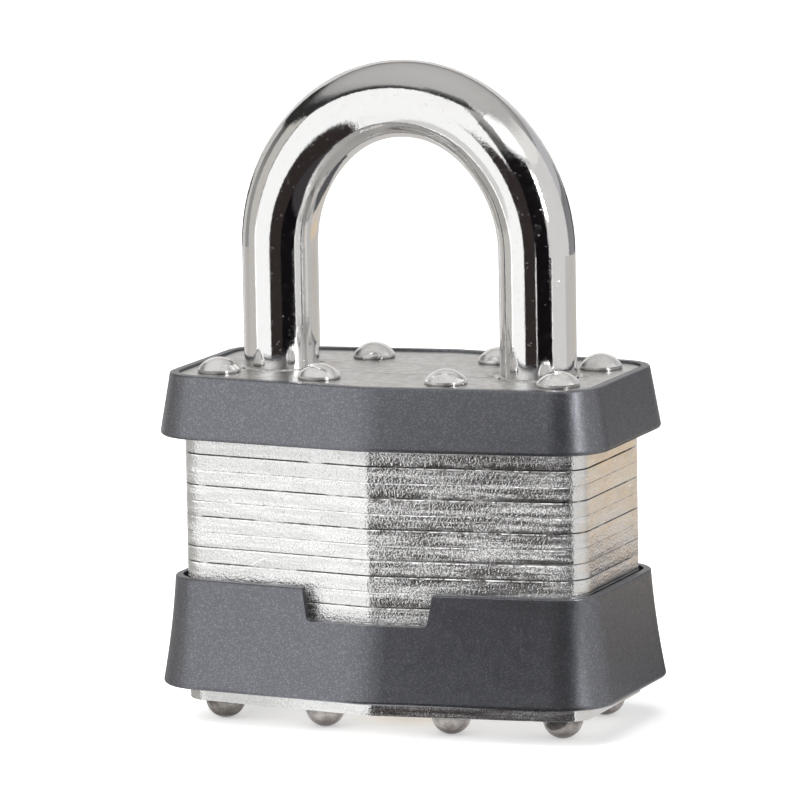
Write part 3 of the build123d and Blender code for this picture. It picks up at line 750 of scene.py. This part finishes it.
# On the left, up to the white cards that the plates' left half mirrors
SLOT = (252, 272)
SLOT_EDGES = standing(0) + seen_at(5, 5) + seen_at(18, 23, 0.4)
BRIGHT = (1.06, 1.06, 1.06, 1)
FLOOR_STEPS = [(CARD_NEAR, 0, 0, 0.95), (WHITE_REACH, 0, 0, 1), (FLAG_REACH, 0, 0, 1)]
card("left_floor", 234, 299, lying(CARD_NEAR, FLAG_REACH), (0.40, 0.39, 0.37, 1))
card("far_card", 234, 252, lying(FLAG_REACH) + seen_at(14, 18), (0.60, 0.585, 0.57, 1))
card("slot_floor", *SLOT, lying(FLAG_REACH), (0.52, 0.50, 0.48, 1))
card("dark_slot", *SLOT, SLOT_EDGES, (0.30, 0.30, 0.29, 1))
card("beige_card", 272, 299, lying(FLAG_REACH) + seen_at(23, 22), (0.56, 0.54, 0.51, 1))
card("pale_floor", 301, 320, lying(CARD_NEAR, FLAG_REACH), (0.72, 0.72, 0.71, 1))
card("white_floor", 320, 346, FLOOR_STEPS, BRIGHT)
card("white_card", 301, 347, lying(FLAG_REACH) + seen_at(22, 37), BRIGHT)
card("white_wall", 347, 370, standing(0) + seen_at(37, 41), BRIGHT)

# Dark valances over the left and front cards, each lighter towards its upper edge
FAR_EDGES = seen_at(14, 24) + seen_at(29, 31) + seen_at(35, 37, 8)
LEFT_EDGES = seen_at(24, 22) + seen_at(31, 31) + seen_at(37, 37, 8)
FRONT_EDGES = seen_at(22, 37) + seen_at(30, 40) + seen_at(36, 46, 7)
CAMERA_EDGES = seen_at(37, 45) + seen_at(43, 50) + seen_at(52, 58, 6)
card("far_valance", 235, 280, FAR_EDGES, (0.03, 0.03, 0.03, 1))
card("left_valance", 280, 301, LEFT_EDGES, (0.03, 0.03, 0.03, 1))
card("front_valance", 301, 347, FRONT_EDGES, (0.04, 0.04, 0.04, 1))
card("camera_valance", 347, 382, CAMERA_EDGES, (0.05, 0.05, 0.05, 1))


def softbox(name, azimuth, elevation, distance, width, height, power):
    """A rectangular lamp that faces the middle of the object."""
    lamp = bpy.data.lights.new(name, "AREA")
    lamp.shape = "RECTANGLE"
    lamp.size = width
    lamp.size_y = height
    lamp.energy = power
    made = link(bpy.data.objects.new(name, lamp))
    way = direction(azimuth, elevation)
    made.location = CAMERA_TARGET + way * distance
    made.rotation_euler = way.to_track_quat("Z", "Y").to_euler()
    return made


# Lamps: a key and a top light that the metal doesn't mirror, and a small strip that it does
key = softbox("key", azimuth=-42, elevation=40, distance=0.85, width=0.60, height=0.60, power=8.0)
key.visible_glossy = False
top = softbox("top", azimuth=10, elevation=84, distance=0.80, width=0.70, height=0.70, power=4.0)
top.visible_glossy = False
softbox("strip", azimuth=64, elevation=20, distance=0.38, width=0.032, height=0.110, power=0.26)

# World: white behind the object; in the metal, dark over the cards and pale overhead
WORLD_LIGHT = (0.45, 0.45, 0.45, 1)
SKY_TINT = (1.0, 0.975, 0.955)
SKY_STEPS = ((0.46, 0.12), (0.60, 0.36), (0.74, 0.48), (1.0, 0.53))  # height on the sky, brightness
world = bpy.data.worlds.new("studio")
bpy.context.scene.world = world
world.use_nodes = True
sky = world.node_tree


def sky_mix(share, first, second):
    """Mixes two colours of the sky by a kind of ray."""
    made = sky.nodes.new("ShaderNodeMix")
    made.data_type = "RGBA"
    sky.links.new(share, made.inputs[0])
    for socket, given in ((made.inputs[6], first), (made.inputs[7], second)):
        if isinstance(given, bpy.types.NodeSocket):
            sky.links.new(given, socket)
        else:
            socket.default_value = given
    return made.outputs[2]


rays = sky.nodes.new("ShaderNodeLightPath")
way_up = sky.nodes.new("ShaderNodeSeparateXYZ")
sky.links.new(sky.nodes.new("ShaderNodeTexCoord").outputs["Generated"], way_up.inputs[0])
ramp = sky.nodes.new("ShaderNodeValToRGB")
for height, _ in SKY_STEPS[1:-1]:
    ramp.color_ramp.elements.new(height)
for stop, (height, bright) in zip(ramp.color_ramp.elements, SKY_STEPS):
    stop.position = height
    stop.color = [bright * share for share in SKY_TINT] + [1]
sky.links.new(way_up.outputs["Z"], ramp.inputs[0])
unseen = sky_mix(rays.outputs["Is Glossy Ray"], WORLD_LIGHT, ramp.outputs[0])
backdrop = sky_mix(rays.outputs["Is Camera Ray"], unseen, WHITE)
sky.links.new(backdrop, sky.nodes["Background"].inputs["Color"])

# Camera, at the photograph's viewpoint
camera_data = bpy.data.cameras.new("camera")
camera_data.sensor_width = SENSOR_W
camera_data.lens = FOCAL_LENGTH
camera_data.clip_start = CAMERA_CLIP
camera = link(bpy.data.objects.new("camera", camera_data))
outward = direction(CAMERA_AZIMUTH, CAMERA_ELEVATION)
camera.location = CAMERA_TARGET + outward * CAMERA_DISTANCE
camera.rotation_euler = outward.to_track_quat("Z", "Y").to_matrix().to_4x4().to_euler()
camera.rotation_euler.rotate_axis("Z", math.radians(-CAMERA_ROLL))
bpy.context.scene.camera = camera
bpy.context.scene.view_settings.view_transform = "Standard"
